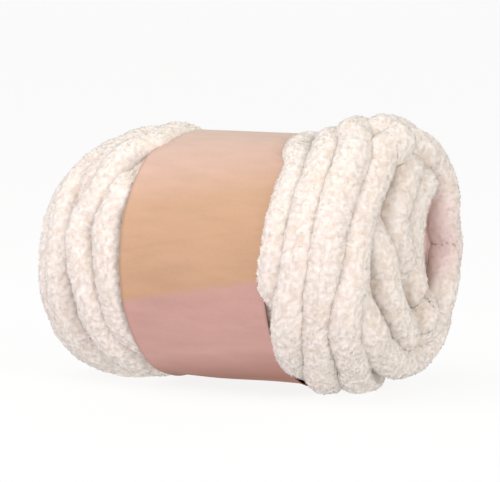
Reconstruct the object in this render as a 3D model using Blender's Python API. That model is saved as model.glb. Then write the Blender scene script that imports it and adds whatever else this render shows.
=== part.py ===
"""A skein of jumbo chenille yarn, held round its middle by a plain paper band.

The skein lies on its side: X runs along it from the left end to the right one, from the middle of its length,
and Z is up from the surface that it rests on. It is cross-wound: each strand comes out from under the band, climbs
over the swollen shoulder of the skein, passes round the hollow in the end and goes back under the band. The strands
that show stand out as ridges on one closed winding.

Lengths in the tables are in millimetres, and the meshes are in metres.
"""

import math

import bpy
import numpy as np

MM = 0.001

# Driving dimensions
STRAND_RADIUS = 8.8
AXIS_HEIGHT = 72.0
BAND_LEFT = -40.0
BAND_RIGHT = 51.0
BAND_RADIUS = 69.6
BAND_THICKNESS = 1.0
LAP_START = 236.0
LAP_END = 248.0
CLEARANCE = 0.35
GROOVE_DEPTH = 6.0
HIGHEST_RIDGE = 3.0
RIDGES_RISE_BY = 0.06
HOLLOW_REACH = 0.80

# How finely the pieces are faceted
RINGS_PER_END = 40
POINTS_AROUND = 54
BAND_POINTS = 90
PROFILE_POINTS = 200
PATH_STEP = 2.5

# A degree round the skein and the whole reach, as lengths along the surface, to space points evenly
MM_PER_DEGREE = 1.2
MM_PER_REACH = 140.0

YARN_COLOUR = (0.86, 0.79, 0.71, 1.0)
PAPER_COLOUR = (0.72, 0.50, 0.36, 1.0)

# The outside of each end, from under the band over the shoulder and into the hollow. rise and back carry the
# middle of a turn off the axis, upwards and away from the front.
PROFILE_COLUMNS = ("along", "radius", "rise", "back")
RIGHT_PROFILE = (
    (42, 68.5, 0, 0),
    (51, 70.0, 0, 0),
    (60, 74.8, 1, 0),
    (71, 76.0, 3.5, 0),
    (84, 74.0, 7, 0),
    (97, 69.0, 9, 0),
    (107, 51.0, 9, 4),
    (110, 28.0, 8, 22),
    (106, 14.0, 8, 36),
    (89, 9.0, 8, 42),
)
LEFT_PROFILE = (
    (31, 68.5, 0, 0),
    (40, 70.0, 0, 0),
    (52, 73.0, -1, 0),
    (74, 70.5, -4, 0),
    (96, 62.0, -6, 0),
    (110, 44.0, -7, 0),
    (112, 27.0, -6, 0),
    (100, 13.0, -5, 0),
    (82, 9.0, -5, 0),
)

# The way each strand lies: angle is in degrees round the skein, 0 on top, 90 at the front and 180 underneath.
# reach goes from 0 under the band to 1 in the hollow. sunk is how far the strand dips under its neighbours.
STRAND_COLUMNS = ("angle", "reach", "sunk")
RIGHT_STRANDS = {
    "beside_band": (
        (-44, -0.02, 9), (-26, -0.05, 6), (-8, -0.05, -1), (10, -0.01, -3), (22, 0.035, -3), (36, 0.08, -3),
        (60, 0.095, -3), (84, 0.09, -3), (100, 0.09, -2), (116, 0.085, 2), (132, 0.075, 6),
    ),
    "first_over": (
        (-40, 0.11, 9), (-8, 0.13, 1), (10, 0.162, 0), (30, 0.22, 0), (50, 0.25, 0), (72, 0.242, 0), (89, 0.225, 0),
        (104, 0.165, -1), (120, 0.11, -2.5), (144, 0.085, -2), (160, 0.05, 0), (176, 0, 2),
    ),
    "second_over": (
        (-44, 0.20, 9), (-10, 0.25, 1), (8, 0.30, 0), (30, 0.375, 0), (54, 0.388, 0), (78, 0.37, 0), (107, 0.326, 0),
        (122, 0.274, 0), (139, 0.208, 0), (161, 0.12, -1.5), (178, 0.075, -3), (196, 0, 3),
    ),
    "third_over": (
        (-48, 0.28, 9), (-10, 0.35, 1), (17, 0.50, 0), (34, 0.545, 0), (60, 0.555, 0), (94, 0.535, 0), (112, 0.51, 0),
        (130, 0.45, 0), (150, 0.362, 0), (168, 0.28, -2.5), (186, 0.20, -2.5), (212, 0.02, 2),
    ),
    "face_low": (
        (50, 0.61, 13), (70, 0.63, 5), (90, 0.662, 0), (122, 0.668, 0), (150, 0.65, 0), (178, 0.60, 0), (200, 0.50, 5),
    ),
    "face_middle": (
        (-24, 0.46, 5), (5, 0.62, 0), (28, 0.678, 0), (49, 0.695, 0), (64, 0.708, 0), (82, 0.748, 0), (96, 0.768, 0),
        (114, 0.762, 4), (130, 0.72, 11),
    ),
    "round_hollow": (
        (-38, 0.56, 5), (-12, 0.68, 1), (10, 0.75, 1), (40, 0.80, 2), (84, 0.82, 2), (118, 0.82, 2), (150, 0.78, 1),
        (180, 0.70, 5),
    ),
    "far_rim": (
        (2, 0.43, 8), (-22, 0.44, -1), (-42, 0.48, -3), (-60, 0.54, -3), (-80, 0.66, 0), (-100, 0.70, 0),
        (-120, 0.66, -2), (-136, 0.56, -3), (-158, 0.48, 3), (-176, 0.44, 10),
    ),
    "low_rim": (
        (96, 0.50, 14), (130, 0.50, 0), (164, 0.49, 0), (194, 0.42, -4), (206, 0.44, -6), (225, 0.49, -4),
        (252, 0.38, 0), (282, 0.20, 0), (316, 0, 2),
    ),
    "under_hollow": (
        (160, 0.76, 12), (184, 0.68, 0), (212, 0.60, 0), (250, 0.50, 0), (290, 0.33, 0), (318, 0.18, 0), (350, 0, 2),
    ),
    "back_high": ((262, 0.56, 12), (290, 0.49, 2), (318, 0.38, 0), (350, 0.17, 0), (380, 0.06, 9)),
    "back_middle": ((296, 0.38, 9), (328, 0.22, 0), (348, 0.10, 2), (366, 0.0, 6)),
    "back_lower": ((262, 0.34, 9), (290, 0.21, 0), (314, 0.10, 0), (334, 0, 2)),
    "back_lowest": ((200, 0.36, 9), (238, 0.28, 0), (270, 0.13, 0), (292, 0, 2)),
    "back_low": ((186, 0.30, 12), (215, 0.25, 2), (245, 0.14, 0), (270, -0.02, 2)),
    "back_short": ((172, 0.10, 10), (205, 0.11, 0), (236, -0.02, 2)),
    "top_short": ((296, 0.46, 9), (322, 0.36, 1), (344, 0.36, -1), (358, 0.38, 0), (372, 0.42, 9)),
}
LEFT_STRANDS = {
    "over_band": (
        (-92, -0.02, 8), (-70, 0.01, 7), (-48, 0.04, 5), (-26, 0.07, 1), (-4, 0.09, -2), (14, 0.113, -2),
        (28, 0.117, -2), (40, 0.145, -1), (50, 0.20, 0), (58, 0.26, 0), (66, 0.295, 0), (78, 0.30, 0), (96, 0.268, 0),
        (122, 0.234, 0), (146, 0.154, 0), (168, 0.07, 0), (190, 0, 2),
    ),
    "above_over": (
        (-66, 0.02, 6), (-40, 0.14, 2), (-14, 0.22, 0), (10, 0.25, 0), (28, 0.27, 0), (42, 0.31, 0), (54, 0.37, 4),
        (64, 0.40, 11),
    ),
    "beside_band": ((40, 0.03, 8), (60, 0.015, 3), (96, -0.01, 3)),
    "first_over": (
        (16, 0.10, 13), (36, 0.11, 4), (54, 0.126, 0), (68, 0.142, 0), (84, 0.128, 0), (104, 0.112, 0),
        (128, 0.108, 0), (144, 0.07, 2), (164, 0, 4),
    ),
    "second_over": (
        (-46, 0.20, 9), (-16, 0.34, 1), (8, 0.39, 0), (32, 0.42, 0), (60, 0.435, 0), (84, 0.434, 0), (110, 0.444, 0),
        (132, 0.40, 0), (152, 0.34, 0), (182, 0.18, 0), (212, 0, 2),
    ),
    "third_over": (
        (-30, 0.44, 9), (2, 0.50, 2), (30, 0.54, 0), (50, 0.55, 0), (67, 0.558, 0), (98, 0.564, 0), (120, 0.54, 0),
        (142, 0.486, 0), (196, 0.33, 0), (240, 0, 2),
    ),
    "fourth_over": (
        (-10, 0.60, 6), (40, 0.68, 0), (70, 0.70, 0), (100, 0.71, 0), (158, 0.62, 0), (210, 0.44, 0), (272, 0, 2),
    ),
    "round_hollow": ((20, 0.79, 8), (60, 0.84, 0), (120, 0.84, 0), (186, 0.70, 0), (246, 0.42, 0), (298, 0, 2)),
    "back_first": ((176, 0.78, 8), (210, 0.74, 0), (268, 0.50, 0), (334, 0, 2)),
    "back_second": ((236, 0.79, 4), (270, 0.74, 0), (326, 0.48, 0), (360, 0.24, 3), (384, 0.10, 9)),
    "back_low": ((190, 0.52, 9), (228, 0.355, 0), (256, 0.19, 0), (282, 0, 2)),
    "back_middle": ((205, 0.66, 9), (240, 0.50, 0), (275, 0.30, 0), (312, 0, 2)),
    "back_high": ((246, 0.72, 9), (285, 0.53, 0), (326, 0.27, 0), (358, 0.03, 8)),
    "top_short": ((296, 0.78, 4), (324, 0.72, 0), (372, 0.48, 5), (390, 0.40, 12)),
}


def smooth_curve(stations, lengths, spacing):
    """Points about one spacing apart on a smooth curve through the stations.

    lengths turns each column of a station into a length, to measure how far apart two stations are.
    """
    stations = np.array(stations, float)
    steps = np.linalg.norm(np.diff(stations * lengths, axis=0), axis=1)
    at = np.concatenate(([0.0], np.cumsum(steps)))
    slopes = np.gradient(stations, at, axis=0)
    places = np.linspace(0.0, at[-1], int(at[-1] / spacing) + 2)
    left = np.clip(np.searchsorted(at, places, side="right") - 1, 0, len(at) - 2)
    span = (at[left + 1] - at[left])[:, None]
    t = (places[:, None] - at[left][:, None]) / span
    return (
        (2 * t**3 - 3 * t**2 + 1) * stations[left]
        + (t**3 - 2 * t**2 + t) * span * slopes[left]
        + (3 * t**2 - 2 * t**3) * stations[left + 1]
        + (t**3 - t**2) * span * slopes[left + 1]
    )


def softened(lift):
    """The lifts averaged with their neighbours along and round the skein, so that no facet stands up as a spike."""
    beside = np.pad(lift, ((1, 1), (0, 0)), mode="edge")
    lift = (beside[:-2] + 2 * lift + beside[2:]) / 4
    return (np.roll(lift, 1, axis=1) + 2 * lift + np.roll(lift, -1, axis=1)) / 4


class End:
    """One end of the skein: side is 1 for the right end and -1 for the left one."""

    def __init__(self, side, profile, strands):
        self.side = side
        curve = smooth_curve(profile, (1, 1, 0, 0), MM_PER_REACH / PROFILE_POINTS)
        self.reaches = np.linspace(0.0, 1.0, len(curve))
        self.profile = dict(zip(PROFILE_COLUMNS, curve.T))
        along_step, radius_step = np.gradient(self.profile["along"]), np.gradient(self.profile["radius"])
        length = np.hypot(along_step, radius_step)
        self.profile["out_along"] = -radius_step / length
        self.profile["out_radius"] = along_step / length
        self.strands = [self.strand_path(stations) for stations in strands.values()]

    def read(self, column, reach):
        return np.interp(reach, self.reaches, self.profile[column])

    def reach_at(self, along):
        """The reach of a place between the band and the shoulder."""
        shoulder = len(self.reaches) // 2
        return np.interp(along, self.profile["along"][:shoulder], self.reaches[:shoulder])

    def outward(self, reach, angle):
        """The directions that face out of the outside surface."""
        out = self.read("out_radius", reach)
        turn = np.radians(angle)
        return np.stack(
            (self.side * self.read("out_along", reach), -out * np.sin(turn), out * np.cos(turn)), axis=-1
        )

    def point(self, reach, angle, lift):
        """Points a lift above the outside surface, in millimetres. A reach under 0 runs on under the band."""
        radius = self.read("radius", reach)
        turn = np.radians(angle)
        under_band = np.minimum(reach, 0.0) * MM_PER_REACH
        surface = np.stack(
            (
                self.side * (self.read("along", reach) + under_band),
                self.read("back", reach) - radius * np.sin(turn),
                AXIS_HEIGHT + self.read("rise", reach) + radius * np.cos(turn),
            ),
            axis=-1,
        )
        return surface + self.outward(reach, angle) * np.asarray(lift)[..., None]

    def strand_path(self, stations):
        """The middle line of a strand, whose top just meets the outside surface where it isn't sunk."""
        curve = smooth_curve(stations, (MM_PER_DEGREE, MM_PER_REACH, 1), PATH_STEP)
        path = dict(zip(STRAND_COLUMNS, curve.T))
        return self.point(path["reach"], path["angle"], -STRAND_RADIUS - path["sunk"])

    def ridge_lift(self, reach, angle):
        """How far above the outside surface the topmost strand stands, negative in a groove between strands."""
        base = self.point(reach, angle, np.zeros_like(reach))
        out = self.outward(reach, angle)
        lift = np.full(reach.shape, -GROOVE_DEPTH)
        for path in self.strands:
            to_path = path[None, None] - base[..., None, :]
            height = np.einsum("rapk,rak->rap", to_path, out)
            aside = np.linalg.norm(to_path, axis=-1) ** 2 - height**2
            inside = STRAND_RADIUS**2 - aside
            top = np.where(inside > 0, height + np.sqrt(np.maximum(inside, 0.0)), -GROOVE_DEPTH)
            lift = np.maximum(lift, top.max(axis=-1))
        fade = np.clip((1.0 - reach) / (1.0 - HOLLOW_REACH), 0.0, 1.0)
        return softened(np.minimum(lift, HIGHEST_RIDGE)) * fade

    def rings(self, band_edge):
        """Rings of points from just past the band's edge into the hollow, then the middle of its floor."""
        reach = np.linspace(self.reach_at(band_edge), 1.0, RINGS_PER_END)
        angle = np.arange(POINTS_AROUND) * 360.0 / POINTS_AROUND
        reach, angle = np.meshgrid(reach, angle, indexing="ij")
        # Clear of the band's edge, a ridge may stand higher the further it is from the edge
        highest = HIGHEST_RIDGE * np.clip((reach - reach[0]) / RIDGES_RISE_BY, 0.0, 1.0)
        rings = self.point(reach, angle, np.minimum(self.ridge_lift(reach, angle), highest))
        rings[..., 2] = np.maximum(rings[..., 2], 0.0)
        return rings, rings[-1].mean(axis=0)


def waist_ring(along, radius):
    """One plain ring under the band's edge."""
    turn = np.radians(np.arange(POINTS_AROUND) * 360.0 / POINTS_AROUND)
    return np.stack(
        (np.full(POINTS_AROUND, along), -radius * np.sin(turn), AXIS_HEIGHT + radius * np.cos(turn)), axis=-1
    )


def tube_faces(rings, points):
    """Faces between each ring of points and the next, facing out when the rings run towards +X."""
    faces = []
    for ring in range(rings - 1):
        for point in range(points):
            after = (point + 1) % points
            here, there = ring * points, (ring + 1) * points
            faces.append((here + point, here + after, there + after, there + point))
    return faces


def material(name, colour, roughness):
    finish = bpy.data.materials.new(name)
    finish.use_nodes = True
    finish.diffuse_color = colour
    shader = finish.node_tree.nodes["Principled BSDF"]
    shader.inputs["Base Color"].default_value = colour
    shader.inputs["Roughness"].default_value = roughness
    shader.inputs["Metallic"].default_value = 0.0
    return finish


def add_object(name, points, faces, finish):
    mesh = bpy.data.meshes.new(name)
    mesh.from_pydata((np.asarray(points) * MM).tolist(), [], faces)
    mesh.validate()
    mesh.shade_smooth()
    mesh.set_sharp_from_angle(angle=math.radians(50))
    mesh.materials.append(finish)
    bpy.context.scene.collection.objects.link(bpy.data.objects.new(name, mesh))


def add_winding():
    """The yarn: a closed body with a narrow waist, two swollen ends and a hollow in each."""
    waist = BAND_RADIUS - BAND_THICKNESS - CLEARANCE
    left_rings, left_floor = End(-1, LEFT_PROFILE, LEFT_STRANDS).rings(-BAND_LEFT + 2 * CLEARANCE)
    right_rings, right_floor = End(1, RIGHT_PROFILE, RIGHT_STRANDS).rings(BAND_RIGHT + 2 * CLEARANCE)
    middle = [waist_ring(along, waist) for along in (BAND_LEFT - CLEARANCE, BAND_RIGHT + CLEARANCE)]
    rings = [*left_rings[::-1], *middle, *right_rings]
    points = [*np.concatenate(rings), left_floor, right_floor]
    faces = tube_faces(len(rings), POINTS_AROUND)
    last = (len(rings) - 1) * POINTS_AROUND
    left_middle, right_middle = len(points) - 2, len(points) - 1
    for point in range(POINTS_AROUND):
        after = (point + 1) % POINTS_AROUND
        faces.append((left_middle, after, point))
        faces.append((right_middle, last + point, last + after))
    add_object("winding", points, faces, material("chenille_yarn", YARN_COLOUR, 0.95))


def add_paper_band():
    """A strip of paper round the waist. Its outer end laps over its inner one, which makes a low step."""
    inner = BAND_RADIUS - BAND_THICKNESS
    sides = []
    for along in (BAND_LEFT, BAND_RIGHT):
        inside, outside = [], []
        for angle in np.arange(BAND_POINTS) * 360.0 / BAND_POINTS:
            lapped = LAP_START <= angle <= LAP_END
            turn = math.radians(angle)
            for ring, radius in ((inside, inner), (outside, BAND_RADIUS + lapped * BAND_THICKNESS / 2)):
                ring.append((along, -radius * math.sin(turn), AXIS_HEIGHT + radius * math.cos(turn)))
        sides.append((inside, outside))
    (left_inside, left_outside), (right_inside, right_outside) = sides
    points = [*left_inside, *left_outside, *right_outside, *right_inside, *left_inside]
    faces = tube_faces(5, BAND_POINTS)
    first_ring = 4 * BAND_POINTS
    faces = [[corner % first_ring for corner in face] for face in faces]
    add_object("paper_band", points[:first_ring], faces, material("kraft_paper", PAPER_COLOUR, 0.7))


for old in list(bpy.data.objects):
    bpy.data.objects.remove(old)
add_winding()
add_paper_band()
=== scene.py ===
# %% [markdown]
# # A skein of jumbo chenille yarn in its paper band
#
# The finished object is one thick, plush strand of yarn, wound across and across until it makes a fat
# skein, with a strip of kraft paper wrapped round its waist. It lies on its side. What the eye reads is the
# winding: every strand is as thick as a thumb, presses against the next one, and wears a short pile that
# gathers into nubs.
#
# The lesson goes in the order that a maker would: the form of the skein, the way each strand lies on it,
# the strand's own pile, the paper, and then a plain studio to look at it in.

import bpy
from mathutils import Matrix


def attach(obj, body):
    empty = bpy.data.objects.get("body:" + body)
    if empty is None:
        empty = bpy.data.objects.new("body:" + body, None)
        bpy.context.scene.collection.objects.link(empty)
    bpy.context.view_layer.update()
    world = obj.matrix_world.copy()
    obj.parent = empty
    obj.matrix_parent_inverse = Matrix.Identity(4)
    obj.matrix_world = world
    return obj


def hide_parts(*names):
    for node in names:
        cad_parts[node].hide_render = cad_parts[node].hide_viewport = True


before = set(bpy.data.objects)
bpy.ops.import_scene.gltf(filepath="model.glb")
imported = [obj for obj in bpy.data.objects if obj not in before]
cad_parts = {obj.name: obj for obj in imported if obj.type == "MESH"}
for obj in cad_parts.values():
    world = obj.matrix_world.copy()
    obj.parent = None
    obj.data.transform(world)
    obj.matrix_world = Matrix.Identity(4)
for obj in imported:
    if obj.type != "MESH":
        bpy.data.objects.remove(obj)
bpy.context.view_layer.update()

# %% Tools and units
import math

import bpy
import numpy as np
from mathutils import Vector

MM = 0.001

# %% [markdown]
# ## The form of the skein
#
# Each end of a wound skein is close to a turned shape: it swells out of the band, rounds over a shoulder
# and turns in to a hollow. So each end is one table of rings. `along` is how far a ring lies from the
# middle of the skein, `radius` is its size, and `rise` and `back` carry its centre off the axis, because
# yarn is soft and slumps. A place on the form is then two numbers: `reach`, from 0 under the band to 1 in
# the hollow, and `angle`, in degrees from the top, round by the front. The form could be sculpted instead,
# but a short table keeps every size in sight, and any strand can ask it for a point.

# %% The rings of each end
AXIS_HEIGHT = 72.0
PROFILE_COLUMNS = ("along", "radius", "rise", "back")
RIGHT_PROFILE = (
    (42, 68.5, 0, 0),
    (51, 70.0, 0, 0),
    (60, 74.8, 1, 0),
    (71, 76.0, 3.5, 0),
    (84, 74.0, 7, 0),
    (97, 69.0, 9, 0),
    (107, 51.0, 9, 4),
    (110, 28.0, 8, 22),
    (106, 14.0, 8, 36),
    (89, 9.0, 8, 42),
)
LEFT_PROFILE = (
    (31, 68.5, 0, 0),
    (40, 70.0, 0, 0),
    (52, 73.0, -1, 0),
    (74, 70.5, -4, 0),
    (96, 62.0, -6, 0),
    (110, 44.0, -7, 0),
    (112, 27.0, -6, 0),
    (100, 13.0, -5, 0),
    (82, 9.0, -5, 0),
)

# %% A smooth curve through a few stations
# A degree round the skein and the whole reach, as lengths along its surface
MM_PER_DEGREE = 1.2
MM_PER_REACH = 140.0


def smooth_curve(stations, lengths, spacing):
    """Points about one spacing apart on a smooth curve through the stations.

    lengths turns each column of a station into a length, to measure how far apart two stations are.
    """
    stations = np.array(stations, float)
    steps = np.linalg.norm(np.diff(stations * lengths, axis=0), axis=1)
    at = np.concatenate(([0.0], np.cumsum(steps)))
    slopes = np.gradient(stations, at, axis=0)
    places = np.linspace(0.0, at[-1], int(at[-1] / spacing) + 2)
    left = np.clip(np.searchsorted(at, places, side="right") - 1, 0, len(at) - 2)
    span = (at[left + 1] - at[left])[:, None]
    t = (places[:, None] - at[left][:, None]) / span
    return (
        (2 * t**3 - 3 * t**2 + 1) * stations[left]
        + (t**3 - 2 * t**2 + t) * span * slopes[left]
        + (3 * t**2 - 2 * t**3) * stations[left + 1]
        + (t**3 - t**2) * span * slopes[left + 1]
    )


# %% Points and directions on the form
class End:
    """One end of the skein: side is 1 for the right end and -1 for the left one."""

    def __init__(self, side, profile):
        self.side = side
        curve = smooth_curve(profile, (1, 1, 0, 0), 0.7)
        self.reaches = np.linspace(0.0, 1.0, len(curve))
        self.profile = dict(zip(PROFILE_COLUMNS, curve.T))
        along_step, radius_step = np.gradient(self.profile["along"]), np.gradient(self.profile["radius"])
        length = np.hypot(along_step, radius_step)
        self.profile["out_along"] = -radius_step / length
        self.profile["out_radius"] = along_step / length

    def read(self, column, reach):
        return np.interp(reach, self.reaches, self.profile[column])

    def outward(self, reach, angle):
        """The directions that face out of the form."""
        out = self.read("out_radius", reach)
        turn = np.radians(angle)
        return np.stack(
            (self.side * self.read("out_along", reach), -out * np.sin(turn), out * np.cos(turn)), axis=-1
        )

    def point(self, reach, angle, lift):
        """Points a lift above the form, in millimetres. A reach under 0 runs on under the band."""
        radius = self.read("radius", reach)
        turn = np.radians(angle)
        under_band = np.minimum(reach, 0.0) * MM_PER_REACH
        surface = np.stack(
            (
                self.side * (self.read("along", reach) + under_band),
                self.read("back", reach) - radius * np.sin(turn),
                AXIS_HEIGHT + self.read("rise", reach) + radius * np.cos(turn),
            ),
            axis=-1,
        )
        return surface + self.outward(reach, angle) * np.asarray(lift)[..., None]


right_end = End(1, RIGHT_PROFILE)
left_end = End(-1, LEFT_PROFILE)
print("shoulders, mm across:", *(round(2 * end.profile["radius"].max(), 1) for end in (right_end, left_end)))

# %% [markdown]
# ## The way each strand lies
#
# A winding machine lays the yarn at a slant, so no two strands run quite alike. Each one gets its own short
# row of stations on the form: `angle`, `reach`, and `sunk`, which is how far it dips under its neighbours.
# A strand that comes out from under the band and goes back under it starts and ends with a reach near 0.
# One long helix would be quicker to write, but it would look as even as a spring.

# %% Strands of the right end
STRAND_COLUMNS = ("angle", "reach", "sunk")
RIGHT_STRANDS = {
    "beside_band": (
        (-44, 0.115, 10), (-30, 0.085, 3), (-16, 0.03, -1), (-2, -0.02, -3), (10, -0.01, -3),
        (22, 0.035, -3), (36, 0.08, -3), (60, 0.095, -3), (84, 0.09, -3), (100, 0.09, -2), (116, 0.085, 2),
        (132, 0.075, 6),
    ),
    "first_over": (
        (-40, 0.11, 9), (-8, 0.13, 1), (10, 0.162, 0), (30, 0.22, 0), (50, 0.25, 0), (72, 0.242, 0),
        (89, 0.225, 0), (104, 0.155, -1), (120, 0.095, -2.5), (144, 0.075, -2), (160, 0.045, 0),
        (176, 0, 2),
    ),
    "second_over": (
        (-44, 0.20, 9), (-10, 0.25, 1), (8, 0.30, 0), (30, 0.375, 0), (54, 0.388, 0), (78, 0.37, 0),
        (107, 0.326, 0), (122, 0.274, 0), (139, 0.208, 0), (161, 0.12, -1.5), (178, 0.075, -3), (196, 0, 3),
    ),
    "third_over": (
        (-48, 0.28, 9), (-10, 0.35, 1), (17, 0.50, 0), (34, 0.545, 0), (60, 0.555, 0), (94, 0.535, 0),
        (112, 0.51, 0), (130, 0.45, 0), (150, 0.362, 0), (168, 0.28, -2.5), (186, 0.20, -2.5),
        (212, 0.02, 2),
    ),
    "face_low": (
        (50, 0.61, 13), (70, 0.63, 5), (90, 0.662, 0), (122, 0.668, 0), (150, 0.65, 0), (178, 0.60, 0),
        (200, 0.50, 5),
    ),
    "face_middle": (
        (-24, 0.46, 5), (5, 0.62, 0), (28, 0.678, 0), (49, 0.695, 0), (64, 0.708, 0), (82, 0.748, 0),
        (96, 0.768, 0), (114, 0.762, 4), (130, 0.72, 11),
    ),
    "round_hollow": (
        (-38, 0.56, 5), (-12, 0.68, 1), (10, 0.75, 1), (40, 0.80, 2), (84, 0.82, 2), (118, 0.82, 2),
        (150, 0.78, 1), (180, 0.70, 5),
    ),
    "far_rim": (
        (2, 0.43, 8), (-22, 0.44, -1), (-42, 0.48, -3), (-60, 0.54, -3), (-80, 0.66, 0), (-100, 0.70, 0),
        (-120, 0.66, -2), (-136, 0.56, -3), (-158, 0.48, 3), (-176, 0.44, 10),
    ),
    "low_rim": (
        (96, 0.50, 14), (130, 0.50, 0), (164, 0.49, 0), (194, 0.42, -4), (206, 0.44, -6), (225, 0.49, -4),
        (252, 0.38, 0), (282, 0.20, 0), (316, 0, 2),
    ),
    "under_hollow": (
        (160, 0.76, 12), (184, 0.68, 0), (212, 0.60, 0), (250, 0.50, 0), (290, 0.33, 0), (318, 0.18, 0),
        (350, 0, 2),
    ),
    "back_high": ((262, 0.56, 12), (290, 0.49, 2), (318, 0.38, 0), (350, 0.17, 0), (380, 0.06, 9)),
    "back_middle": ((296, 0.38, 9), (328, 0.22, 0), (348, 0.10, 2), (366, 0.0, 6)),
    "back_lower": ((262, 0.34, 9), (290, 0.21, 0), (314, 0.10, 0), (334, 0, 2)),
    "back_lowest": ((200, 0.36, 9), (238, 0.28, 0), (270, 0.13, 0), (292, 0, 2)),
    "back_low": ((186, 0.30, 12), (215, 0.25, 2), (245, 0.14, 0), (270, -0.02, 2)),
    "back_short": ((172, 0.10, 10), (205, 0.11, 0), (236, -0.02, 2)),
    "top_short": ((296, 0.46, 9), (322, 0.36, 1), (344, 0.36, -1), (358, 0.38, 0), (372, 0.42, 9)),
}

# %% Strands of the left end
LEFT_STRANDS = {
    "over_band": (
        (-92, -0.02, 8), (-70, 0.01, 7), (-48, 0.04, 5), (-26, 0.07, 1), (-4, 0.09, -2), (14, 0.113, -2),
        (28, 0.117, -2), (40, 0.145, -1), (50, 0.20, 0), (58, 0.26, 0), (66, 0.295, 0), (78, 0.30, 0),
        (96, 0.268, 0), (122, 0.234, 0), (146, 0.154, 0), (168, 0.07, 0), (190, 0, 2),
    ),
    "above_over": (
        (-66, 0.02, 6), (-40, 0.14, 2), (-14, 0.22, 0), (10, 0.25, 0), (28, 0.27, 0), (42, 0.31, 0),
        (54, 0.37, 4), (64, 0.40, 11),
    ),
    "beside_band": ((40, 0.03, 8), (60, 0.015, 3), (96, -0.01, 3)),
    "first_over": (
        (16, 0.10, 13), (36, 0.11, 4), (54, 0.126, 0), (68, 0.142, 0), (84, 0.128, 0), (104, 0.112, 0),
        (128, 0.108, 0), (144, 0.07, 2), (164, 0, 4),
    ),
    "second_over": (
        (-46, 0.20, 9), (-16, 0.34, 1), (8, 0.39, 0), (32, 0.42, 0), (60, 0.435, 0), (84, 0.434, 0),
        (110, 0.444, 0), (132, 0.40, 0), (152, 0.34, 0), (182, 0.18, 0), (212, 0, 2),
    ),
    "third_over": (
        (-30, 0.44, 9), (2, 0.50, 2), (30, 0.54, 0), (50, 0.55, 0), (67, 0.558, 0), (98, 0.564, 0),
        (120, 0.54, 0), (142, 0.486, 0), (196, 0.33, 0), (240, 0, 2),
    ),
    "fourth_over": (
        (-10, 0.60, 6), (40, 0.68, 0), (70, 0.70, 0), (100, 0.71, 0), (158, 0.62, 0), (210, 0.44, 0),
        (272, 0, 2),
    ),
    "round_hollow": (
        (20, 0.79, 8), (60, 0.84, 0), (120, 0.84, 0), (186, 0.70, 0), (246, 0.42, 0), (298, 0, 2),
    ),
    "back_first": ((176, 0.78, 8), (210, 0.74, 0), (268, 0.50, 0), (334, 0, 2)),
    "back_second": ((236, 0.79, 4), (270, 0.74, 0), (326, 0.48, 0), (360, 0.24, 3), (384, 0.10, 9)),
    "back_low": ((190, 0.52, 9), (228, 0.355, 0), (256, 0.19, 0), (282, 0, 2)),
    "back_middle": ((205, 0.66, 9), (240, 0.50, 0), (275, 0.30, 0), (312, 0, 2)),
    "back_high": ((246, 0.72, 9), (285, 0.53, 0), (326, 0.27, 0), (358, 0.03, 8)),
    "top_short": ((296, 0.78, 4), (324, 0.72, 0), (372, 0.48, 5), (390, 0.40, 12)),
}

# %% Routes of the strands
ROUTE_STEP = 3.0
STRAND_DEPTH = 9.8
HELD_REACH, FREE_REACH = 0.02, 0.14
LIP_REACH = 0.72


def route(end, stations):
    """The middle line of a strand, the direction out of the form at each point, and how freely it can shift.

    The band holds what lies under it, and the yarn is freer the further it is from the band. A strand past
    the lip of the hollow keeps its plush side towards the mouth.
    """
    curve = smooth_curve(stations, (MM_PER_DEGREE, MM_PER_REACH, 1), ROUTE_STEP)
    path = dict(zip(STRAND_COLUMNS, curve.T))
    free = np.clip((path["reach"] - HELD_REACH) / (FREE_REACH - HELD_REACH), 0.0, 1.0)
    return {
        "points": end.point(path["reach"], path["angle"], -STRAND_DEPTH - path["sunk"]),
        "outward": end.outward(np.minimum(path["reach"], LIP_REACH), path["angle"]),
        "free": free,
    }


right_routes = {name: route(right_end, stations) for name, stations in RIGHT_STRANDS.items()}
left_routes = {name: route(left_end, stations) for name, stations in LEFT_STRANDS.items()}


def route_length(one):
    return np.linalg.norm(np.diff(one["points"], axis=0), axis=1).sum()


shown = sum(route_length(one) for one in [*right_routes.values(), *left_routes.values()])
print(f"{len(right_routes)} + {len(left_routes)} strands show, {shown / 1000:.2f} m of yarn")

# %% [markdown]
# ## Letting the strands settle
#
# As listed, two strands can run through each other. Real ones push each other aside and squash a little
# where they touch. A few rounds of a simple rule do the same: every pair of points that is closer than a
# squashed strand's width moves apart, every strand smooths itself, and a weak pull brings each point back
# to its own place. A physics simulation could do it too, but this takes seconds and is easy to steer.

# %% Settling
SQUASHED_WIDTH = 15.2
SETTLING_ROUNDS = 40
PUSH, SMOOTHING, PULL_HOME = 0.45, 0.18, 0.07
DEEPEST_SHIFT, HIGHEST_SHIFT = -3.0, 0.8
LOWEST_MIDDLE = 8.2


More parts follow.
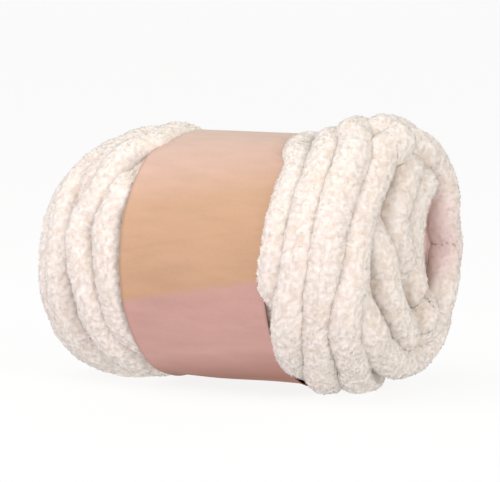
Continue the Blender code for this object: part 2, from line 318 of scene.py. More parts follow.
def settle(routes):
    """Pushes apart the strands of one end where they run through each other. Returns the overlap left."""
    home = np.concatenate([one["points"] for one in routes.values()])
    outward = np.concatenate([one["outward"] for one in routes.values()])
    free = np.concatenate([one["free"] for one in routes.values()])[:, None]
    counts = [len(one["points"]) for one in routes.values()]
    strand = np.repeat(np.arange(len(counts)), counts)
    other = strand[:, None] != strand[None]
    inner = (strand[1:-1] == strand[:-2]) & (strand[1:-1] == strand[2:])
    points = home.copy()
    for _ in range(SETTLING_ROUNDS):
        apart = points[:, None] - points[None]
        distance = np.linalg.norm(apart, axis=-1)
        overlap = np.where(other, np.clip(SQUASHED_WIDTH - distance, 0.0, None), 0.0)
        weight = overlap / np.maximum(distance, 1e-6)
        touching = np.maximum((overlap > 0).sum(axis=1), 1)[:, None]
        push = (weight[..., None] * apart).sum(axis=1) / touching
        bend = np.zeros_like(points)
        bend[1:-1][inner] = ((points[:-2] + points[2:]) / 2 - points[1:-1])[inner]
        points += free * (PUSH * push + SMOOTHING * bend + PULL_HOME * (home - points))
        lift = ((points - home) * outward).sum(axis=1, keepdims=True)
        points += (np.clip(lift, DEEPEST_SHIFT, HIGHEST_SHIFT) - lift) * outward
        points[:, 2] = np.maximum(points[:, 2], LOWEST_MIDDLE)
    for one, settled in zip(routes.values(), np.split(points, np.cumsum(counts)[:-1])):
        one["points"] = settled
    return overlap.max()


for routes in (right_routes, left_routes):
    print(f"deepest overlap after settling: {settle(routes):.1f} mm")

# %% [markdown]
# ## The camera
#
# A long lens from more than two metres away, a little above the skein and off to its right end. From that
# far, the near end looks hardly larger than the far one.

# %% Camera
IMAGE_WIDTH = 500
SENSOR_WIDTH = 36.0
CAMERA_AZIMUTH, CAMERA_ELEVATION = math.radians(30), math.radians(6)
CAMERA_DISTANCE = 2.2
METRES_PER_PIXEL = 0.000562
AIM = Vector((0.0026, 0.0, 0.0802))

camera_data = bpy.data.cameras.new("camera")
camera_data.sensor_width = SENSOR_WIDTH
camera_data.lens = SENSOR_WIDTH * CAMERA_DISTANCE / (METRES_PER_PIXEL * IMAGE_WIDTH)
camera_data.clip_end = 60.0
camera = bpy.data.objects.new("camera", camera_data)
bpy.context.scene.collection.objects.link(camera)
bpy.context.scene.camera = camera
towards_camera = Vector(
    (
        math.sin(CAMERA_AZIMUTH) * math.cos(CAMERA_ELEVATION),
        -math.cos(CAMERA_AZIMUTH) * math.cos(CAMERA_ELEVATION),
        math.sin(CAMERA_ELEVATION),
    )
)
camera.location = AIM + CAMERA_DISTANCE * towards_camera
camera.rotation_euler = towards_camera.to_track_quat("Z", "Y").to_euler()
print(f"lens: {camera_data.lens:.0f} mm, {CAMERA_DISTANCE} m away")

# %% [markdown]
# ## Small helpers for node trees
#
# Both the pile and the finishes are node trees. A few helpers keep them readable: one adds a node with its
# options and inputs, and the others add a piece of arithmetic, a noise, or a mix of two colours.

# %% Node helpers
def add_node(tree, kind, inputs=None, **options):
    """Adds a node. inputs maps a socket's name or number to a value, or to the socket that feeds it."""
    node = tree.nodes.new(kind)
    for name, value in options.items():
        setattr(node, name, value)
    for key, value in (inputs or {}).items():
        if isinstance(value, bpy.types.NodeSocket):
            tree.links.new(value, node.inputs[key])
        else:
            node.inputs[key].default_value = value
    return node


def calculate(tree, operation, *values, clamp=False):
    """One Math node: its result."""
    inputs = dict(enumerate(values))
    return add_node(tree, "ShaderNodeMath", inputs, operation=operation, use_clamp=clamp).outputs[0]


def calculate_vector(tree, operation, *values):
    """One Vector Math node: its result. SCALE takes its factor from the socket of that name."""
    node = add_node(tree, "ShaderNodeVectorMath", operation=operation)
    for number, value in enumerate(values):
        socket = node.inputs["Scale"] if operation == "SCALE" and number == 1 else node.inputs[number]
        if isinstance(value, bpy.types.NodeSocket):
            tree.links.new(value, socket)
        else:
            socket.default_value = value
    return node.outputs["Value"] if operation in ("DOT_PRODUCT", "LENGTH") else node.outputs[0]


def combine(tree, x=0.0, y=0.0, z=0.0):
    """A vector from its three parts."""
    return add_node(tree, "ShaderNodeCombineXYZ", {0: x, 1: y, 2: z}).outputs[0]


# %% Helpers for patterns and colours
def noise(tree, place, scale, detail, **others):
    """One Noise node: its pattern, from 0 to 1."""
    inputs = {"Vector": place, "Scale": scale, "Detail": detail, **others}
    return add_node(tree, "ShaderNodeTexNoise", inputs).outputs["Fac"]


def fade_in(tree, value, start, end, most):
    """0 where the value is at start or short of it, and most where it is at end or past it."""
    inputs = {"Value": value, "From Min": start, "From Max": end, "To Min": 0.0, "To Max": most}
    return add_node(tree, "ShaderNodeMapRange", inputs).outputs["Result"]


def mix_colours(tree, share, first, second):
    """The first colour where share is 0, and the second where it is 1."""
    return add_node(tree, "ShaderNodeMix", {0: share, 6: first, 7: second}, data_type="RGBA").outputs[2]


# %% [markdown]
# ## The finish of the yarn
#
# Undyed chenille is a warm cream. Its pile is dense polyester, so light catches the tips and sinks between
# the nubs. Growing every fibre would take millions of faces, so that shade is painted into the colour: the
# attribute `pile` is 0 deep between the nubs and 1 at the tips, and the colour runs from a painted shade
# there to the cream of the tips. A broad, faint noise keeps the cream from being even, the inside of each
# hollow gets a rosier painted shade, and sheen gives the soft bright rim that velvet has.

# %% Yarn material
TIP_COLOUR = (0.855, 0.835, 0.805, 1.0)
# Painted shade deep between the nubs, where little light reaches
DEEP_SHADE_COLOUR = (0.690, 0.600, 0.510, 1.0)
WARM_PATCH_COLOUR = (0.800, 0.735, 0.650, 1.0)
# A rosier painted shade for the insides of the hollows, where little light gets in
HOLLOW_SHADE_COLOUR = (0.720, 0.560, 0.530, 1.0)
PATCH_SIZE = 0.022
PATCHES_FADE_IN = (0.42, 0.66, 0.5)
# Painted shade in each hollow: its middle, and how far it reaches each way, in metres
HOLLOW_SHADE_PLACES = (((0.097, 0.038, 0.082), (0.020, 0.020, 0.042)), ((-0.098, 0.0, 0.067), (0.020, 0.020, 0.026)))
HOLLOW_SHADE_FADE_IN = (1.0, 0.55, 0.85)


def new_material(name):
    finish = bpy.data.materials.new(name)
    finish.use_nodes = True
    return finish, finish.node_tree, finish.node_tree.nodes["Principled BSDF"]


chenille, tree, shader = new_material("cream_chenille")
place = add_node(tree, "ShaderNodeTexCoord").outputs["Object"]
patches = noise(tree, place, 1 / PATCH_SIZE, 3.0, Roughness=0.6)
tips = mix_colours(tree, fade_in(tree, patches, *PATCHES_FADE_IN), TIP_COLOUR, WARM_PATCH_COLOUR)
pile = add_node(tree, "ShaderNodeAttribute", attribute_name="pile").outputs["Fac"]
# Painted shade between the nubs: where pile is 0 the colour is the shade colour, where it is 1 the cream
colour = mix_colours(tree, pile, DEEP_SHADE_COLOUR, tips)
# Paints the rosier shade into each hollow, strongest at its middle
for middle, reaches in HOLLOW_SHADE_PLACES:
    from_middle = calculate_vector(tree, "SUBTRACT", place, middle)
    distance = calculate_vector(tree, "LENGTH", calculate_vector(tree, "DIVIDE", from_middle, reaches))
    colour = mix_colours(tree, fade_in(tree, distance, *HOLLOW_SHADE_FADE_IN), colour, HOLLOW_SHADE_COLOUR)
tree.links.new(colour, shader.inputs["Base Color"])
shader.inputs["Roughness"].default_value = 0.95
shader.inputs["Specular IOR Level"].default_value = 0.15
shader.inputs["Sheen Weight"].default_value = 0.3
shader.inputs["Sheen Roughness"].default_value = 0.55
shader.inputs["Sheen Tint"].default_value = (1.0, 0.97, 0.93, 1.0)
print("yarn material:", len(tree.nodes), "nodes")

# %% [markdown]
# ## The strand and its pile
#
# Chenille is a thin core with short fibres trapped across it. The fibres stand out all round, lock into
# nubs a few millimetres across, and leave creases where the strand bends. Every strand follows its route in
# the same way, so this is work for Geometry Nodes: sweep a ring along each route, push the surface out into
# nubs, and scatter small tufts over the side that shows. The ring has most of its points on the outer side,
# where they are seen.

# %% Inputs of the strand tree
STRAND_INPUTS = {
    "Strand Radius": "NodeSocketFloat",
    "Points Around": "NodeSocketInt",
    "Step": "NodeSocketFloat",
    "Flatness": "NodeSocketFloat",
    "Nub Length": "NodeSocketFloat",
    "Nub Width": "NodeSocketFloat",
    "Nub Height": "NodeSocketFloat",
    "Lump Height": "NodeSocketFloat",
    "Fine Height": "NodeSocketFloat",
    "Tuft Length": "NodeSocketFloat",
    "Tuft Width": "NodeSocketFloat",
    "Tuft Density": "NodeSocketFloat",
    "Seed": "NodeSocketInt",
    "Finish": "NodeSocketMaterial",
}
print("inputs of the strand tree:", len(STRAND_INPUTS))


# %% Helpers for attributes and normals
def read_attribute(tree, name, data_type="FLOAT"):
    """What is stored under a name."""
    node = add_node(tree, "GeometryNodeInputNamedAttribute", {"Name": name}, data_type=data_type)
    return node.outputs["Attribute"]


def store_attribute(tree, geometry, name, value, data_type="FLOAT"):
    """The geometry, with a value stored on each point under a name."""
    inputs = {"Geometry": geometry, "Name": name, "Value": value}
    kind = "GeometryNodeStoreNamedAttribute"
    return add_node(tree, kind, inputs, data_type=data_type, domain="POINT").outputs[0]


def surface_normal(tree):
    return add_node(tree, "GeometryNodeInputNormal").outputs["Normal"]


def position_parts(tree):
    """The X, Y and Z of each point."""
    position = add_node(tree, "GeometryNodeInputPosition").outputs[0]
    return add_node(tree, "ShaderNodeSeparateXYZ", {0: position}).outputs


# %% Routes as curves
def routes_as_curves(tree, given):
    """Each route as a curve in even steps, whose normal faces out of the form."""
    curve = add_node(tree, "GeometryNodeMeshToCurve", {"Mesh": given["Routes"]}).outputs[0]
    inputs = {"Curve": curve, "Length": given["Step"]}
    curve = add_node(tree, "GeometryNodeResampleCurve", inputs, mode="LENGTH").outputs[0]
    inputs = {"Curve": curve, "Normal": read_attribute(tree, "outward", "FLOAT_VECTOR")}
    curve = add_node(tree, "GeometryNodeSetCurveNormal", inputs, mode="FREE").outputs[0]
    along = add_node(tree, "GeometryNodeSplineParameter").outputs["Length"]
    return store_attribute(tree, curve, "along", along)


# %% The ring that is swept along a route
OUTER_SIDE_CROWDING = 0.45


def crowded_ring(tree, given):
    """A ring with its points crowded towards the outer side. `around` is the angle of each one."""
    inputs = {"Resolution": given["Points Around"], "Radius": 1.0}
    ring = add_node(tree, "GeometryNodeCurvePrimitiveCircle", inputs).outputs[0]
    factor = add_node(tree, "GeometryNodeSplineParameter").outputs["Factor"]
    even = calculate(tree, "MULTIPLY", factor, 2 * math.pi)
    shift = calculate(tree, "MULTIPLY", calculate(tree, "SINE", even), OUTER_SIDE_CROWDING)
    around = calculate(tree, "SUBTRACT", even, shift)
    flattened = calculate(tree, "MULTIPLY", calculate(tree, "COSINE", around), given["Flatness"])
    on_ring = combine(tree, flattened, calculate(tree, "SINE", around))
    ring = store_attribute(tree, ring, "around", around)
    return add_node(tree, "GeometryNodeSetPosition", {"Geometry": ring, "Position": on_ring}).outputs[0]


def swept_strand(tree, given):
    inputs = {
        "Curve": routes_as_curves(tree, given),
        "Profile Curve": crowded_ring(tree, given),
        "Scale": given["Strand Radius"],
        "Fill Caps": True,
    }
    return add_node(tree, "GeometryNodeCurveToMesh", inputs).outputs[0]


# %% Nubs
# A cell pattern laid on the strand, counted in nubs, so its cells keep their size round every bend
STRANDS_APART = 7.3
WANDER_SCALE, WANDER_BY = 0.55, 1.6
NUB_STEEPNESS = 1.9
MIDDLE_OF_NUB = 0.6
LUMP_SCALE, FINE_SCALE = 0.28, 2.3
# Pile at the top of a nub, below the tips of the tufts; the yarn finish paints shade where it is low
PILE_OF_NUBS = 0.75


def place_on_strand(tree, given):
    """Along the strand, round it, and which strand it is."""
    along = calculate(tree, "DIVIDE", read_attribute(tree, "along"), given["Nub Length"])
    round_it = calculate(tree, "MULTIPLY", read_attribute(tree, "around"), given["Strand Radius"])
    across = calculate(tree, "DIVIDE", round_it, given["Nub Width"])
    which = calculate(tree, "MULTIPLY", read_attribute(tree, "number"), STRANDS_APART)
    return combine(tree, along, across, which)


def nub_domes(tree, on_strand):
    """1 on top of each nub, falling to 0 in the creases between them."""
    inputs = {"Vector": on_strand, "Scale": WANDER_SCALE, "Detail": 2.0}
    wander = add_node(tree, "ShaderNodeTexNoise", inputs).outputs["Color"]
    shifted = calculate_vector(tree, "ADD", on_strand, calculate_vector(tree, "SCALE", wander, WANDER_BY))
    inputs = {"Vector": shifted, "Scale": 1.0, "Smoothness": 0.25, "Randomness": 1.0}
    cells = add_node(tree, "ShaderNodeTexVoronoi", inputs, feature="SMOOTH_F1", voronoi_dimensions="3D")
    from_middle = calculate(tree, "POWER", cells.outputs["Distance"], 2.0)
    fall = calculate(tree, "MULTIPLY", from_middle, NUB_STEEPNESS)
    return calculate(tree, "SUBTRACT", 1.0, fall, clamp=True)


def with_nubs(tree, strand, given):
    """The strand pushed out into nubs, lumps and a fine roughness, with `pile` stored."""
    on_strand = place_on_strand(tree, given)
    dome = nub_domes(tree, on_strand)
    above_middle = calculate(tree, "SUBTRACT", dome, MIDDLE_OF_NUB)
    height = calculate(tree, "MULTIPLY", above_middle, given["Nub Height"])
    for scale, name in ((LUMP_SCALE, "Lump Height"), (FINE_SCALE, "Fine Height")):
        from_middle = calculate(tree, "SUBTRACT", noise(tree, on_strand, scale, 1.0), 0.5)
        height = calculate(tree, "ADD", height, calculate(tree, "MULTIPLY", from_middle, given[name]))
    strand = store_attribute(tree, strand, "pile", calculate(tree, "MULTIPLY", dome, PILE_OF_NUBS))
    offset = calculate_vector(tree, "SCALE", surface_normal(tree), height)
    return add_node(tree, "GeometryNodeSetPosition", {"Geometry": strand, "Offset": offset}).outputs[0]


def pressed_flat(tree, strand):
    """The surface that the skein rests on presses the pile flat."""
    x, y, z = position_parts(tree)
    rested = combine(tree, x, y, calculate(tree, "MAXIMUM", z, 0.0))
    return add_node(tree, "GeometryNodeSetPosition", {"Geometry": strand, "Position": rested}).outputs[0]


# %% Tufts
FACES_OUT_FROM = -0.1
LEAN = 0.75
SMALLEST_TUFT, LARGEST_TUFT = 0.6, 1.35
# A tuft's pile at its foot and its rise to the tip; the yarn finish paints the foot in shade
PILE_AT_FOOT, PILE_RISES_BY = 0.45, 0.55
FOOT_SINKS_BY = 0.25


def one_tuft(tree, given):
    """A cone with three sides, its foot a little under the surface of the strand."""
    inputs = {"Radius Top": 0.0, "Radius Bottom": given["Tuft Width"], "Depth": given["Tuft Length"]}
    cone = add_node(tree, "GeometryNodeMeshCone", {"Vertices": 3, **inputs}, fill_type="NONE").outputs[0]
    from_foot = calculate(tree, "DIVIDE", position_parts(tree)[2], given["Tuft Length"])
    pile = calculate(tree, "ADD", PILE_AT_FOOT, calculate(tree, "MULTIPLY", from_foot, PILE_RISES_BY))
    cone = store_attribute(tree, cone, "pile", pile)
    sunk = combine(tree, z=calculate(tree, "MULTIPLY", given["Tuft Length"], -FOOT_SINKS_BY))
    return add_node(tree, "GeometryNodeTransform", {"Geometry": cone, "Translation": sunk}).outputs[0]


def tuft_places(tree, strand, given):
    """Points over the outer side of the strand, clear of the surface that it rests on."""
    outward = read_attribute(tree, "outward", "FLOAT_VECTOR")
    facing = calculate_vector(tree, "DOT_PRODUCT", surface_normal(tree), outward)
    faces_out = calculate(tree, "GREATER_THAN", facing, FACES_OUT_FROM)
    clear = calculate(tree, "GREATER_THAN", position_parts(tree)[2], given["Tuft Length"])
    inputs = {
        "Mesh": strand,
        "Selection": calculate(tree, "MULTIPLY", faces_out, clear),
        "Density": given["Tuft Density"],
        "Seed": given["Seed"],
    }
    return add_node(tree, "GeometryNodeDistributePointsOnFaces", inputs).outputs


def tufts_on(tree, strand, given):
    """Tufts that lean each its own way, shaded like the strand under them, so the pile looks soft."""
    places = tuft_places(tree, strand, given)
    inputs = {"Min": (-LEAN, -LEAN, -LEAN), "Max": (LEAN, LEAN, LEAN), "Seed": given["Seed"]}
    lean = add_node(tree, "FunctionNodeRandomValue", inputs, data_type="FLOAT_VECTOR").outputs[0]
    stands = calculate_vector(tree, "ADD", places["Normal"], lean)
    inputs = {"Rotation": places["Rotation"], "Vector": stands}
    turned = add_node(tree, "FunctionNodeAlignRotationToVector", inputs, axis="Z").outputs[0]
    inputs = {2: SMALLEST_TUFT, 3: LARGEST_TUFT, "Seed": calculate(tree, "ADD", given["Seed"], 1)}
    size = add_node(tree, "FunctionNodeRandomValue", inputs, data_type="FLOAT").outputs[1]
    inputs = {
        "Points": places["Points"],
        "Instance": one_tuft(tree, given),
        "Rotation": turned,
        "Scale": size,
    }
    tufts = add_node(tree, "GeometryNodeInstanceOnPoints", inputs).outputs[0]
    tufts = add_node(tree, "GeometryNodeRealizeInstances", {"Geometry": tufts}).outputs[0]
    inputs = {"Mesh": tufts, "Custom Normal": read_attribute(tree, "lie", "FLOAT_VECTOR")}
    return add_node(tree, "GeometryNodeSetMeshNormal", inputs, mode="FREE", domain="POINT").outputs[0]


# %% The strand tree
def strand_tree():
    tree = bpy.data.node_groups.new("chenille_strand", "GeometryNodeTree")
    face = tree.interface
    face.new_socket("Geometry", in_out="OUTPUT", socket_type="NodeSocketGeometry")
    face.new_socket("Routes", in_out="INPUT", socket_type="NodeSocketGeometry")
    for name, kind in STRAND_INPUTS.items():
        face.new_socket(name, in_out="INPUT", socket_type=kind)
    given = tree.nodes.new("NodeGroupInput").outputs

    strand = pressed_flat(tree, with_nubs(tree, swept_strand(tree, given), given))
    strand = store_attribute(tree, strand, "lie", surface_normal(tree), "FLOAT_VECTOR")
    tufts = tufts_on(tree, strand, given)

    both = add_node(tree, "GeometryNodeJoinGeometry")
    tree.links.new(tufts, both.inputs[0])
    tree.links.new(strand, both.inputs[0])
    smooth = add_node(tree, "GeometryNodeSetShadeSmooth", {"Geometry": both.outputs[0]}).outputs[0]
    inputs = {"Geometry": smooth, "Material": given["Finish"]}
    add_node(tree, "NodeGroupOutput", {0: add_node(tree, "GeometryNodeSetMaterial", inputs).outputs[0]})
    return tree


chenille_strand = strand_tree()
print("strand tree:", len(chenille_strand.nodes), "nodes")

# %% From routes to a plain mesh
def routes_object(name, routes):
    """A mesh of edges only, one line for each route, with what the tree reads from it."""
    points, edges, outward, numbers = [], [], [], []
    for number, one in enumerate(routes):
        first = len(points)
        points.extend((one["points"] * MM).tolist())
        edges.extend((first + i, first + i + 1) for i in range(len(one["points"]) - 1))
        outward.extend(one["outward"].tolist())
        numbers.extend([float(number)] * len(one["points"]))
    mesh = bpy.data.meshes.new(name)
    mesh.from_pydata(points, edges, [])
    mesh.attributes.new("outward", "FLOAT_VECTOR", "POINT").data.foreach_set("vector", np.ravel(outward))
    mesh.attributes.new("number", "FLOAT", "POINT").data.foreach_set("value", numbers)
    piece = bpy.data.objects.new(name, mesh)
    bpy.context.scene.collection.objects.link(piece)
    return piece


def run_tree(piece, tree, settings):
    """Runs a Geometry Nodes tree on the piece and keeps the result as a plain mesh."""
    modifier = piece.modifiers.new("shape", "NODES")
    modifier.node_group = tree
    for item in tree.interface.items_tree:
        if item.in_out == "INPUT" and item.name in settings:
            modifier[item.identifier] = settings[item.name]
    graph = bpy.context.evaluated_depsgraph_get()
    made = bpy.data.meshes.new_from_object(piece.evaluated_get(graph))
    piece.modifiers.remove(modifier)
    piece.data = made
    made.calc_loop_triangles()
    print(f"{piece.name}: {len(made.loop_triangles)} triangles")
    return piece


# %% Strands that show
PILE = {
    "Strand Radius": 9.9 * MM,
    "Points Around": 38,
    "Step": 1.25 * MM,
    "Flatness": 0.92,
    "Nub Length": 2.8 * MM,
    "Nub Width": 3.6 * MM,
    "Nub Height": 0.8 * MM,
    "Lump Height": 2.0 * MM,
    "Fine Height": 0.3 * MM,
    "Tuft Length": 1.0 * MM,
    "Tuft Width": 0.5 * MM,
    "Tuft Density": 0.65e6,
    "Seed": 3,
    "Finish": chenille,
}
GROUPS = {
    "right_shoulder_strands": (right_routes, ("beside_band", "first_over", "second_over", "third_over")),
    "right_face_strands": (right_routes, ("face_low", "face_middle", "round_hollow", "low_rim", "far_rim")),
    "right_back_strands": (
        right_routes,
        (
            "under_hollow", "back_high", "back_middle", "back_lower", "back_lowest", "back_low", "back_short",
            "top_short",
        ),
    ),
    "left_shoulder_strands": (left_routes, ("over_band", "above_over", "beside_band", "first_over")),
    "left_face_strands": (left_routes, ("second_over", "third_over", "fourth_over", "round_hollow")),
    "left_back_strands": (
        left_routes, ("back_first", "back_second", "back_low", "back_middle", "back_high", "top_short")
    ),
}
yarn_pieces = []
for name, (routes, members) in GROUPS.items():
    piece = routes_object(name, [routes[member] for member in members])
    yarn_pieces.append(run_tree(piece, chenille_strand, PILE))

# %% [markdown]
# ## The turns underneath
#
# Between the strands that show, one looks down on the layer below. It is the same yarn on a steeper slant,
# and it needs little detail. Under that, a plain body of yarn closes the last gaps.

# %% Strands underneath
UNDER_STATIONS = ((0, 0, 2), (20, 0.10, 4), (40, 0.25, 9), (70, 0.45, 11), (110, 0.62, 11), (150, 0.74, 11))
UNDER_STRANDS = 22
UNDER_PILE = {
    **PILE,
    "Points Around": 18,
    "Step": 2.6 * MM,
    "Nub Length": 4.0 * MM,
    "Nub Width": 5.0 * MM,
    "Tuft Density": 0.0,
}

for name, end in (("right_under_strands", right_end), ("left_under_strands", left_end)):
    routes = []
    for turn in range(UNDER_STRANDS):
        start = turn * 360.0 / UNDER_STRANDS
        routes.append(route(end, [(start + angle, reach, sunk) for angle, reach, sunk in UNDER_STATIONS]))
    yarn_pieces.append(run_tree(routes_object(name, routes), chenille_strand, UNDER_PILE))

# %% The body under the strands
# How deep the body lies under the form at a few reaches, and how much deeper at the top, where strands
# press it in
BODY_REACHES, BODY_DEPTHS = (0.0, 0.06, 0.14, 0.30), (1.5, 2.0, 12.0, 20.0)
DEEPER_AT_TOP = 7.0
BODY_POINTS = 48
BODY_RINGS = 24
BODY_ENDS_AT = 0.9


def turned_rings(end):
    reach, angle = np.meshgrid(
        np.linspace(0.0, BODY_ENDS_AT, BODY_RINGS),
        np.arange(BODY_POINTS) * 360.0 / BODY_POINTS,
        indexing="ij",
    )
    at_top = np.clip(2.0 * np.cos(np.radians(angle)) - 0.6, 0.0, 1.0)
    return end.point(reach, angle, -np.interp(reach, BODY_REACHES, BODY_DEPTHS) - DEEPER_AT_TOP * at_top)


def tube_faces(rings, points):
    """Faces between each ring of points and the next, facing out when the rings run towards +X."""
    faces = []
    for ring in range(rings - 1):
        for point in range(points):
            after = (point + 1) % points
            here, there = ring * points, (ring + 1) * points
            faces.append((here + point, here + after, there + after, there + point))
    return faces


def mesh_object(name, points, faces):
    mesh = bpy.data.meshes.new(name)
    mesh.from_pydata((np.asarray(points) * MM).tolist(), [], faces)
    mesh.validate()
    mesh.shade_smooth()
    piece = bpy.data.objects.new(name, mesh)
    bpy.context.scene.collection.objects.link(piece)
    return piece


rings = np.concatenate((turned_rings(left_end)[::-1], turned_rings(right_end)))
points = rings.reshape(-1, 3)
faces = tube_faces(len(rings), BODY_POINTS)
faces.append(tuple(range(BODY_POINTS))[::-1])
faces.append(tuple(range(len(points) - BODY_POINTS, len(points))))
body = mesh_object("yarn_body", points, faces)
# The body has no pile, so the yarn finish paints it all over in the painted shade colour of the depths
body.data.materials.append(chenille)
yarn_pieces.append(body)
print("faces of the body under the strands:", len(body.data.polygons))

# %% [markdown]
# ## The paper band
#
# The band is one strip of kraft paper, drawn tight round the waist, its ends lapped and glued at the back.
# Paper this thin takes on the shape of the yarn under it, so its surface is not a true cylinder: it swells
# a little over each strand, and its edges lift. A cloth simulation could drape it, but a strip that is held
# tight has nowhere to fall. So it is laid out as the flat strip that it is, point by point round the skein.

# %% Sizes of the band
BAND_LEFT, BAND_RIGHT = -40.0, 51.0
BAND_RADIUS = 69.6
PAPER_THICKNESS = 0.5
BAND_STEPS_AROUND, BAND_STEPS_ALONG = 240, 44
# The lap: its middle and its ramp in degrees, its length and the gap between its layers in mm
LAP_MIDDLE, LAP_RAMP = 242.0, 3.0
LAP, LAP_GAP = 13.0, 0.25
EDGE_FLARE, EDGE_WIDTH = 1.2, 8.0
# Waves of the paper: share of the swell, waves round the skein, slant and fading for each mm along, and phase
SWELL = 0.6
PAPER_WAVES = (
    (0.5, 5, 0.06, 0.045, 0.8),
    (0.3, 9, -0.09, 0.0, 0.0),
    (0.2, 17, 0.05, 0.0, 2.0),
)
# The strands that lie over the paper's edges press it in, each down to so many degrees from the top
PRESSED_BY = ((left_routes, "over_band", 60.0), (right_routes, "beside_band", 40.0))
DENT_DEPTH, DENT_WIDTH, DENT_ROUNDNESS = 6.0, 15.0, 0.7
DENTS_FADE_OVER = 15.0
print(f"strip of paper: {2 * math.pi * BAND_RADIUS + LAP:.0f} x {BAND_RIGHT - BAND_LEFT:.0f} mm")


# %% The surface of the band
def band_points(lift):
    """Points of the strip in rows of constant angle, a lift above the inner side of the paper."""
    along, place = np.meshgrid(
        np.linspace(BAND_LEFT, BAND_RIGHT, BAND_STEPS_ALONG + 1), np.linspace(0.0, 1.0, BAND_STEPS_AROUND + 1)
    )
    lap_degrees = np.degrees(LAP / BAND_RADIUS)
    starts_at = LAP_MIDDLE - lap_degrees / 2
    angle = starts_at + place * (360.0 + lap_degrees)
    turn = np.radians(angle)
    over_start = np.clip((angle - (starts_at + 360.0) + LAP_RAMP) / LAP_RAMP, 0.0, 1.0)
    to_edge = np.minimum(along - BAND_LEFT, BAND_RIGHT - along)
    flare = EDGE_FLARE * np.clip(1.0 - to_edge / EDGE_WIDTH, 0.0, 1.0) ** 2
    swell = SWELL * sum(
        share * np.sin(waves * turn + slant * along + phase) * np.cos(fading * along)
        for share, waves, slant, fading, phase in PAPER_WAVES
    )
    radius = BAND_RADIUS - PAPER_THICKNESS + lift + flare + swell + over_start * (PAPER_THICKNESS + LAP_GAP)
    undented = np.stack((along, -radius * np.sin(turn), AXIS_HEIGHT + radius * np.cos(turn)), axis=-1)
    for routes, name, reaches_down in PRESSED_BY:
        pressing = routes[name]["points"]
        near = np.linalg.norm(undented[:, :, None] - pressing[None, None], axis=-1).min(axis=-1)
        dent = DENT_DEPTH * np.clip(1.0 - near / DENT_WIDTH, 0.0, 1.0) ** DENT_ROUNDNESS
        radius = radius - dent * np.clip((reaches_down - np.abs(angle - 360.0)) / DENTS_FADE_OVER, 0.0, 1.0)
    return np.stack((along, -radius * np.sin(turn), AXIS_HEIGHT + radius * np.cos(turn)), axis=-1)


# %% Band sheet
columns, rows = BAND_STEPS_ALONG + 1, BAND_STEPS_AROUND + 1
points = np.concatenate((band_points(0.0).reshape(-1, 3), band_points(PAPER_THICKNESS).reshape(-1, 3)))
outer = columns * rows
faces = []
for row in range(rows - 1):
    for column in range(columns - 1):
        a = row * columns + column
        b, c, d = a + 1, a + columns + 1, a + columns
        faces.append((a, b, c, d))
        faces.append((outer + a, outer + d, outer + c, outer + b))
rim = [*range(columns), *(row * columns + columns - 1 for row in range(1, rows))]
rim += [outer - 1 - column for column in range(1, columns)]
rim += [row * columns for row in range(rows - 2, 0, -1)]
for here, there in zip(rim, rim[1:] + rim[:1]):
    faces.append((here, outer + here, outer + there, there))
band = mesh_object("kraft_band", points, faces)
bpy.context.view_layer.update()
print("faces of the band:", len(band.data.polygons))

# %% [markdown]
# ## The finish of the paper
#
# Kraft paper is brown with a rosy cast. Its colour changes in broad zones round the band, and one zone of
# yellower paper ends at a straight slanted line. The zone over the top is rosy kraft lightened by a painted
# highlight, and the darkening low at the front is painted shade. The zones are a colour ramp over the angle
# round the skein, in degrees from the top by the front. On top come pulp clouds that lie along the strip,
# short fibres, and a faint line of painted shade along a crease. A scanned sheet would be quicker, but a
# pattern that is worked out from the place on the strip stays sharp however close one looks.

# %% Paper material
# Angle and colour: a painted highlight lightens the top, painted shade darkens round 162 degrees
PAPER_TONES_AND_PAINTED_LIGHT = (
    (0, (0.570, 0.440, 0.370)),
    (38, (0.545, 0.365, 0.285)),
    (60, (0.480, 0.300, 0.184)),
    (100.5, (0.470, 0.285, 0.170)),
    (102.5, (0.480, 0.280, 0.236)),
    (135, (0.520, 0.300, 0.258)),
    (162, (0.300, 0.120, 0.078)),
    (240, (0.520, 0.310, 0.240)),
    (330, (0.540, 0.350, 0.270)),
    (360, (0.570, 0.440, 0.370)),
)
ZONE_SLANT = 0.155 / MM
# A thin line of painted shade along a crease of the paper: its angle, width in degrees and darkening
CREASE_ANGLE, CREASE_WIDTH, CREASE_SHADE_DARKENS = 78.0, 1.6, 0.035
# How fine the clouds and the fibres are, along the skein and round it, and how much they darken
CLOUD_SCALES, CLOUD_DARKENS = (40.0, 150.0, 1.0), 0.10
FIBRE_SCALES, FIBRE_DARKENS = (500.0, 1700.0, 1.0), 0.07
PAPER_BUMP, PAPER_BUMP_DEPTH = 0.12, 0.3 * MM

kraft, tree, shader = new_material("kraft_paper")
place = add_node(tree, "ShaderNodeTexCoord").outputs["Object"]
x, y, z = add_node(tree, "ShaderNodeSeparateXYZ", {0: place}).outputs
height = calculate(tree, "SUBTRACT", z, AXIS_HEIGHT * MM)
turn = calculate(tree, "ARCTAN2", calculate(tree, "MULTIPLY", y, -1.0), height)
slant = calculate(tree, "MULTIPLY", x, ZONE_SLANT)
slanted = calculate(tree, "ADD", calculate(tree, "DEGREES", turn), slant)
round_once = calculate(tree, "WRAP", slanted, 360.0, 0.0)
zones = add_node(tree, "ShaderNodeValToRGB", {0: calculate(tree, "DIVIDE", round_once, 360.0)})
while len(zones.color_ramp.elements) < len(PAPER_TONES_AND_PAINTED_LIGHT):
    zones.color_ramp.elements.new(0.5)
for element, (angle, shade) in zip(zones.color_ramp.elements, PAPER_TONES_AND_PAINTED_LIGHT):
    element.position = angle / 360.0
    element.color = (*shade, 1.0)

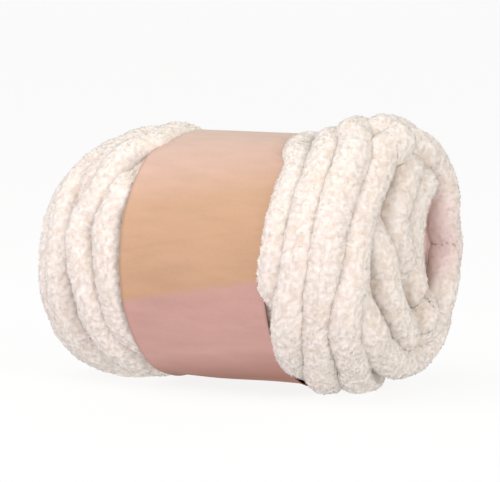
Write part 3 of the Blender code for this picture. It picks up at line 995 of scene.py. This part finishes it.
strip = combine(tree, x, calculate(tree, "MULTIPLY", turn, BAND_RADIUS * MM))
clouds = noise(tree, calculate_vector(tree, "MULTIPLY", strip, CLOUD_SCALES), 1.0, 3.0)
fibres = noise(tree, calculate_vector(tree, "MULTIPLY", strip, FIBRE_SCALES), 1.0, 2.0, Distortion=1.2)
# The painted shade along the crease
from_crease = calculate(tree, "ABSOLUTE", calculate(tree, "SUBTRACT", slanted, CREASE_ANGLE))
crease = calculate(tree, "SUBTRACT", 1.0, calculate(tree, "DIVIDE", from_crease, CREASE_WIDTH), clamp=True)
light_and_dark = calculate(tree, "SUBTRACT", 1.0, calculate(tree, "MULTIPLY", crease, CREASE_SHADE_DARKENS))
for pattern, darkens in ((clouds, CLOUD_DARKENS), (fibres, FIBRE_DARKENS)):
    change = calculate(tree, "MULTIPLY", calculate(tree, "SUBTRACT", pattern, 0.5), 2 * darkens)
    light_and_dark = calculate(tree, "ADD", light_and_dark, change)
shade = calculate_vector(tree, "SCALE", zones.outputs["Color"], light_and_dark)
tree.links.new(shade, shader.inputs["Base Color"])
shader.inputs["Roughness"].default_value = 0.62
shader.inputs["Specular IOR Level"].default_value = 0.35
bump = {"Strength": PAPER_BUMP, "Distance": PAPER_BUMP_DEPTH, "Height": fibres}
relief = add_node(tree, "ShaderNodeBump", bump)
tree.links.new(relief.outputs["Normal"], shader.inputs["Normal"])
band.data.materials.append(kraft)
print("paper zones:", len(PAPER_TONES_AND_PAINTED_LIGHT))

# %% [markdown]
# ## The studio
#
# The skein stands in a pale studio with soft light from all round. One large light hangs above, a long low
# one reaches under the swell of the ends, and a third one faces the hollow in the right end. The floor glows,
# so that it stays white up to the horizon and lights the skein from below, as a lit paper sweep does.

# %% Lights
# Name, place in metres, width and height in metres, watts and colour
SOFTBOXES = (
    ("softbox_above", (-0.35, -0.6, 1.4), (1.4, 1.2), 13.0, (1.0, 1.0, 0.98)),
    ("softbox_low", (-0.2, -1.6, 0.12), (2.0, 0.2), 8.5, (1.0, 0.82, 0.94)),
    ("softbox_end", (1.7, -0.7, 0.8), (1.0, 0.8), 14.0, (1.0, 0.92, 0.90)),
)
LIGHTS_FACE = Vector((0.0, 0.0, 0.07))
WORLD_COLOUR, WORLD_STRENGTH = (1.0, 0.99, 0.98, 1.0), 0.64


def area_light(name, location, size, power, colour):
    light = bpy.data.lights.new(name, "AREA")
    light.shape = "RECTANGLE"
    light.size, light.size_y = size
    light.energy = power
    light.color = colour
    lamp = bpy.data.objects.new(name, light)
    lamp.location = location
    lamp.rotation_euler = (LIGHTS_FACE - Vector(location)).to_track_quat("-Z", "Y").to_euler()
    bpy.context.scene.collection.objects.link(lamp)


for softbox in SOFTBOXES:
    area_light(*softbox)
world = bpy.data.worlds.new("studio")
world.use_nodes = True
world.node_tree.nodes["Background"].inputs["Color"].default_value = WORLD_COLOUR
world.node_tree.nodes["Background"].inputs["Strength"].default_value = WORLD_STRENGTH
bpy.context.scene.world = world
print("lights:", len(SOFTBOXES))

# %% Floor
FLOOR_HALF = 15
FLOOR_COLOUR, FLOOR_GLOW = (0.08, 0.08, 0.08, 1.0), 0.856

corners = [(FLOOR_HALF * x, FLOOR_HALF * y, 0) for x, y in ((-1, -1), (1, -1), (1, 1), (-1, 1))]
floor_mesh = bpy.data.meshes.new("floor")
floor_mesh.from_pydata(corners, [], [(0, 1, 2, 3)])
floor = bpy.data.objects.new("floor", floor_mesh)
bpy.context.scene.collection.objects.link(floor)
white, tree, shader = new_material("white_floor")
shader.inputs["Base Color"].default_value = FLOOR_COLOUR
shader.inputs["Roughness"].default_value = 0.9
shader.inputs["Emission Color"].default_value = (1.0, 1.0, 1.0, 1.0)
shader.inputs["Emission Strength"].default_value = FLOOR_GLOW
floor.data.materials.append(white)
bpy.context.scene.view_settings.view_transform = "Standard"
print(f"floor: {2 * FLOOR_HALF} m square")

# %% [markdown]
# ## Handing the pieces over
#
# Every piece rides on the skein's one body, and the solid that it replaces is hidden.

# %% Riding and replacing
for piece in yarn_pieces:
    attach(piece, "root")
    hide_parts("winding")
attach(band, "root")
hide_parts("paper_band")
